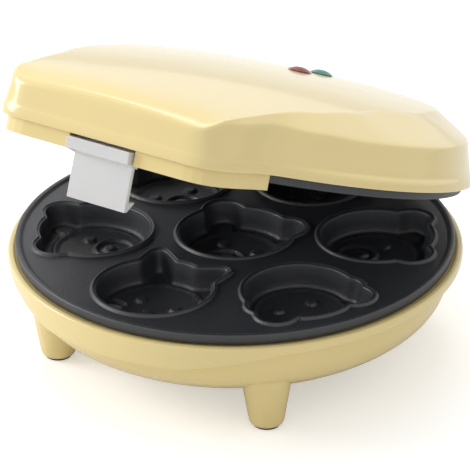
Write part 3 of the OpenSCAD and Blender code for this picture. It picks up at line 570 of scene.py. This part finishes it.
def relief(kind, p):
    """How far the mould floor stands up at points p, from 0 to 1."""
    forms = []
    if kind == 0:
        forms += [bump_ring(p, 0, -2, 21.5, 2.4) * 0.7]
        for s in (-1, 1):
            forms += [bump_disc(p, s * 9.5, 4, 3), bump_disc(p, *turn(0, EAR_OFF + 0.5, s * 46), 4.6)]
        forms += [bump_ring(p, 0, -9, 9.2, 1.8), bump_disc(p, 0, -6.5, 3)]
    if kind == 1:
        forms += [bump_ring(p, 0, 0, 22, 2) * 0.7]
        for s in (-1, 1):
            forms += [bump_disc(p, s * 9.5, 3, 2.7), bump_bar(p, s * 3, -9.6, 2.6, 0.8, -s * 28)]
            forms += [bump_bar(p, s * 16.5, -6 + t * 2.6, 4, 0.6, s * t * 12) for t in (-1, 1)]
        forms += [bump_disc(p, 0, -5.5, 2.2)]
    if kind == 2:
        forms += [bump_ring(p, 0, 0, 20.5, 2) * 0.7]
        for s in (-1, 1):
            forms += [bump_disc(p, s * 8.5, 4.5, 2.9), bump_bar(p, s * 3.6, -15.5, 3, 0.8, s * 24)]
        forms += [bump_disc(p, 0, -7.5, 4.2), bump_bar(p, 0, -12.5, 2.4, 0.7, 90)]
    return np.max(forms, axis=0)


def mould_place(i):
    """Centre of mould i and the turn of its face."""
    a = math.radians((i - 1) * 60)
    x, y = (0, 0) if i == 0 else (MOULD_RING_R * math.sin(a), -MOULD_RING_R * math.cos(a))
    return x, y, FACES_TURN[i] if i else 0


# Offset from the mould's edge and height over the plate floor, from the flat floor inwards
BEAD = [(3.4, 0), (3.1, 0), (2.8, 0.12), (2.5, 0.7), (2.15, 1.25), (1.75, 1.4), (1.35, 1.3), (1.05, 0.85),
        (0.8, 0.75), (0.55, 0.85), (0.3, 0.75), (0.05, 0.2), (-0.1, -0.8)]
WALL_ROWS = [(-0.5, -3), (-0.9, -6), (-1.3, -8.6), (-1.7, -9.8), (-2.4, -10.5), (-3.4, -10.6)]
# Distance outside the plate's radius and height over the plate floor, from the flat floor outwards
RIM_BEAD = [(-4.0, 0), (-3.6, 0), (-3.2, 0.15), (-2.7, 0.8), (-2.2, 1.25), (-1.6, 1.4), (-0.7, 1.38),
            (-0.2, 1.15), (0, 0.7), (0, 0.2), (0, -1.2), (0, -2.8), (-0.2, -3.2), (-0.8, -3.2), (-3.5, -3.2)]
RELIEF_H = 1.5
FLOOR_RINGS = 26
PLATE_SKIN = 1.6
FACE_EDGES = [face_outline(kind) for kind in range(3)]
FACE_ROWS = [[(offset_loop(edge, d), h) for d, h in BEAD] + [(drawn_in(edge, -d), h) for d, h in WALL_ROWS]
             for edge in FACE_EDGES]


def inside(loop, px, py):
    """Whether the point (px, py) lies inside a loop."""
    nxt = np.roll(loop, -1, axis=0)
    cross = (loop[:, 1] > py) != (nxt[:, 1] > py)
    rise = np.where(nxt[:, 1] == loop[:, 1], 1, nxt[:, 1] - loop[:, 1])
    reach = (nxt[:, 0] - loop[:, 0]) * (py - loop[:, 1]) / rise + loop[:, 0]
    return np.sum(cross & (px < reach)) % 2 == 1


def build_plate(name, node, body, upper):
    """A plate: the moulds, the bead of its rim, and the flat floor between them."""
    floor_z = CONTACT_Z - PLATE_FLOOR_DROP
    points, faces, holes = [], [], []
    for i in range(7):
        x, y, degrees = mould_place(i)
        rows = [(flat, np.full(OUTLINE_STEPS, floor_z + h)) for flat, h in FACE_ROWS[FACES_KIND[i]]]
        last = rows[-1][0]
        for ring in range(1, FLOOR_RINGS + 1):
            flat = last * (1 - ring / FLOOR_RINGS)
            level = floor_z + WALL_ROWS[-1][1] + RELIEF_H * relief(FACES_KIND[i], flat)
            rows.append((flat, level))
        start = len(points)
        for flat, level in rows:
            wx, wy = turn(flat[:, 0], flat[:, 1], degrees)
            points += list(np.stack([wx + x, wy + y, level], axis=-1))
        faces += grid_faces(len(rows), OUTLINE_STEPS, start)
        holes.append(np.array(points[start:start + OUTLINE_STEPS])[:, :2])
    rim_points, rim_faces = lathe([(PLATE_R + d, floor_z + h) for d, h in RIM_BEAD], PLATE_COLUMNS)
    start = len(points)
    points += rim_points
    faces += [tuple(start + i for i in f) for f in rim_faces]
    loops = [np.array(rim_points[:PLATE_COLUMNS])[:, :2]] + holes
    flat_verts = [Vector(p) for loop in loops for p in loop]
    edges, first = [], 0
    for loop in loops:
        edges += [(first + i, first + (i + 1) % len(loop)) for i in range(len(loop))]
        first += len(loop)
    verts, _, triangles = geometry.delaunay_2d_cdt(flat_verts, edges, [], 0, 1e-5)[:3]
    start = len(points)
    points += [(v.x, v.y, floor_z) for v in verts]
    for triangle in triangles:
        px = sum(verts[j].x for j in triangle) / 3
        py = sum(verts[j].y for j in triangle) / 3
        if inside(loops[0], px, py) and not any(inside(h, px, py) for h in holes):
            faces.append(tuple(start + j for j in triangle))
    points = np.array(points)
    if upper:
        points[:, 2] = 2 * MIRROR_Z - points[:, 2]
        points = opened(points)
    plate = make_piece(name, points, faces, non_stick)
    solid = plate.modifiers.new("thick", "SOLIDIFY")
    solid.thickness = PLATE_SKIN * MM
    solid.offset = -1
    apply_modifiers(plate)
    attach(plate, body)
    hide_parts(node)


# ---- latch ----
LATCH_BARREL_R = 2.6
LATCH_ROUND = 0.45


def build_latch():
    """The latch in two pieces drawn from the side: the plate with its hook, and the tab with the barrel."""
    plate_in = -(LATCH_Y + 1.4)
    plate_out = plate_in - LATCH_T
    tip = -(LIP_R + 0.5)
    hook_z = CHIN_Z - 1.6
    reach = plate_out - TAB_REACH
    top = LATCH_Z - TAB_DROP
    barrel = [(-LATCH_Y + LATCH_BARREL_R * math.cos(t), LATCH_Z + LATCH_BARREL_R * math.sin(t))
              for t in np.radians(np.arange(-40, 171, 15))]
    hook = [(plate_in, LATCH_LOW_Z + 4.2), (tip, hook_z), (tip, hook_z - 0.9),
            (plate_in + 0.4, LATCH_LOW_Z + 0.4), (plate_in, LATCH_LOW_Z), (plate_out, LATCH_LOW_Z),
            (plate_out, LATCH_Z - 6), (plate_in, LATCH_Z - 5)]
    tab = [(plate_in, top - TAB_FACE_H - 2.6), (plate_out, top - TAB_FACE_H - 1.8), (reach, top - TAB_FACE_H),
           (reach, top), (-LATCH_Y - 2.7, top)] + barrel[::-1]
    halves = (("latch_hook_plate", hook, LATCH_W / 2), ("latch_finger_tab", tab, LATCH_W / 2 + TAB_OVER))
    for name, outline, half in halves:
        turned = [(y, z) for y, z in opened([(0, y, z) for y, z in outline])[:, 1:]]
        latch = side_profile(name, turned, -half, half, latch_white, LATCH_ROUND)
        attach(latch, "latch")
        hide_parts("latch")


# ---- indicator lenses ----
LENS_STEM_R = 4.4


def build_lens(name, node, y, material):
    """A turned lens with a low dome and a stem, set square to the crown."""
    tilt = -math.atan(2 * (y - CROWN_BACK) / CROWN_CURVE_Y)
    dome = [(0, LENS_RISE)] + [(LENS_R * t, LENS_RISE * (1 - t * t) + 0.12) for t in (0.3, 0.55, 0.75, 0.9)]
    dome += [(LENS_R - 0.15, 0.35), (LENS_R - 0.1, 0.15), (LENS_R - 0.6, 0.15), (LENS_STEM_R, 0.15),
             (LENS_STEM_R, -3), (0, -3)]
    points, faces = lathe(dome, LENS_COLUMNS, per_span=SPAN_STEPS)
    p = np.array(points)
    yy = p[:, 1] * math.cos(tilt) - p[:, 2] * math.sin(tilt)
    zz = p[:, 1] * math.sin(tilt) + p[:, 2] * math.cos(tilt)
    p = np.stack([p[:, 0], yy + y, zz + RIM_Z + crown_face(0, y)], axis=-1)
    lens = make_piece(name, opened(p), faces, material)
    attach(lens, "lid")
    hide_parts(node)


build_cover()
for piece in [build_lower_shell()] + build_hinge_ears():
    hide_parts("lower_shell")
build_plate("lower_baking_plate", "lower_plate", "base", False)
build_plate("upper_baking_plate", "upper_plate", "lid", True)
build_latch()
build_lens("red_power_lens", "red_lens", RED_Y, red_clear)
build_lens("green_ready_lens", "green_lens", GREEN_Y, green_clear)


# ---- materials of the CAD nodes that stay ----
NODE_LOOKS = (
    (frame_satin, "lid_frame"),
    (black_rubber, "foot_pads", "cord_gland"),
    (hot_tube, "lower_heater", "upper_heater"),
    (sheet_steel, "lower_heater_clamps", "upper_heater_clamps"),
    (bright_sheet, "lower_reflector", "upper_reflector"),
    (zinc_steel, "lower_clamp_screws", "upper_clamp_screws", "base_screws", "upper_plate_screws",
     "cover_screws", "latch_pin", "hinge_pin_left", "hinge_pin_right"),
    (white_plastic, "terminal_block", "lamp_holder"),
    (ceramic, "thermostat", "thermal_fuse"),
    (lamp_glass, "red_lamp", "green_lamp"),
)
for material, *nodes in NODE_LOOKS:
    for node in nodes:
        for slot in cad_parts[node].material_slots:
            slot.material = material


# ---- camera ----
AZIMUTH, ELEVATION, ROLL = math.radians(34.1), math.radians(26.4), math.radians(-0.62)
DISTANCE, AIM_Z = 1.3, 0.060
FOCAL_PX, IMAGE_PX, SENSOR_MM = 2775.0, 470.0, 36.0
DROP_PX = 14.5
AIM_DOWN = math.atan(DROP_PX / FOCAL_PX)


def turned_pair(u, v, angle):
    """Two square directions, turned towards each other by an angle."""
    return u * math.cos(angle) + v * math.sin(angle), v * math.cos(angle) - u * math.sin(angle)


flat = math.cos(ELEVATION)
back = Vector((math.sin(AZIMUTH) * flat, -math.cos(AZIMUTH) * flat, math.sin(ELEVATION)))
right = Vector((math.cos(AZIMUTH), math.sin(AZIMUTH), 0))
up = back.cross(right)
place = Vector((0, 0, AIM_Z)) + back * DISTANCE
right, up = turned_pair(right, up, ROLL)
back, up = turned_pair(back, up, AIM_DOWN)
camera = bpy.data.objects.new("camera", bpy.data.cameras.new("camera"))
bpy.context.scene.collection.objects.link(camera)
camera.data.sensor_width = SENSOR_MM
camera.data.lens = FOCAL_PX * SENSOR_MM / IMAGE_PX
camera.data.clip_start = 0.01
axes = Matrix((right, up, back)).transposed().to_4x4()
camera.matrix_world = Matrix.Translation(place) @ axes
bpy.context.scene.camera = camera


# ---- floor, world and lamps ----
FLOOR_WHITE = 0.86
FLOOR_GLOW = 0.42
FLOOR_HALF = 3.0
WORLD_LIGHT = 0.64


def stage_material():
    """A white floor that takes shadows and looks white to the camera."""
    material = bpy.data.materials.new("floor_white")
    material.use_nodes = True
    nodes, links = material.node_tree.nodes, material.node_tree.links
    shader = nodes["Principled BSDF"]
    shader.inputs["Base Color"].default_value = (FLOOR_WHITE, FLOOR_WHITE, FLOOR_WHITE, 1)
    shader.inputs["Roughness"].default_value = 0.9
    glow = nodes.new("ShaderNodeEmission")
    glow.inputs["Color"].default_value = (1, 1, 1, 1)
    path = nodes.new("ShaderNodeLightPath")
    strength = nodes.new("ShaderNodeMath")
    strength.operation = "MULTIPLY"
    strength.inputs[1].default_value = FLOOR_GLOW
    links.new(path.outputs["Is Camera Ray"], strength.inputs[0])
    links.new(strength.outputs["Value"], glow.inputs["Strength"])
    both = nodes.new("ShaderNodeAddShader")
    links.new(shader.outputs["BSDF"], both.inputs[0])
    links.new(glow.outputs["Emission"], both.inputs[1])
    links.new(both.outputs["Shader"], nodes["Material Output"].inputs["Surface"])
    return material


floor_mesh = bpy.data.meshes.new("floor")
corners = [(x * FLOOR_HALF, y * FLOOR_HALF, 0) for x, y in ((-1, -1), (1, -1), (1, 1), (-1, 1))]
floor_mesh.from_pydata(corners, [], [(0, 1, 2, 3)])
floor = bpy.data.objects.new("floor", floor_mesh)
bpy.context.scene.collection.objects.link(floor)
floor_mesh.materials.append(stage_material())

# The world is white to the camera and in reflections, and lights the rest a little less
world = bpy.data.worlds.new("studio")
bpy.context.scene.world = world
world.use_nodes = True
world_nodes, world_links = world.node_tree.nodes, world.node_tree.links
sky = world_nodes["Background"]
sky.inputs["Color"].default_value = (1, 1, 1, 1)
seen = world_nodes.new("ShaderNodeLightPath")
level = world_nodes.new("ShaderNodeMapRange")
level.inputs["To Min"].default_value = WORLD_LIGHT
level.inputs["To Max"].default_value = 1.0
either = world_nodes.new("ShaderNodeMath")
either.operation = "MAXIMUM"
world_links.new(seen.outputs["Is Camera Ray"], either.inputs[0])
world_links.new(seen.outputs["Is Glossy Ray"], either.inputs[1])
world_links.new(either.outputs["Value"], level.inputs["Value"])
world_links.new(level.outputs["Result"], sky.inputs["Strength"])


def soft_lamp(name, where, aim_z, size, watts):
    """A square area lamp, aimed at a height over the middle of the floor."""
    lamp = bpy.data.lights.new(name, "AREA")
    lamp.shape = "RECTANGLE"
    lamp.size, lamp.size_y = size, size
    lamp.energy = watts
    piece = bpy.data.objects.new(name, lamp)
    bpy.context.scene.collection.objects.link(piece)
    piece.location = where
    piece.rotation_euler = (Vector((0, 0, aim_z)) - Vector(where)).to_track_quat("-Z", "Y").to_euler()


soft_lamp("overhead", (-0.3, 0.35, 1.25), 0.05, 0.9, 7.0)
soft_lamp("left_front", (-1.2, -0.6, 0.62), 0.08, 0.7, 9.6)
bpy.context.scene.view_settings.view_transform = "Standard"
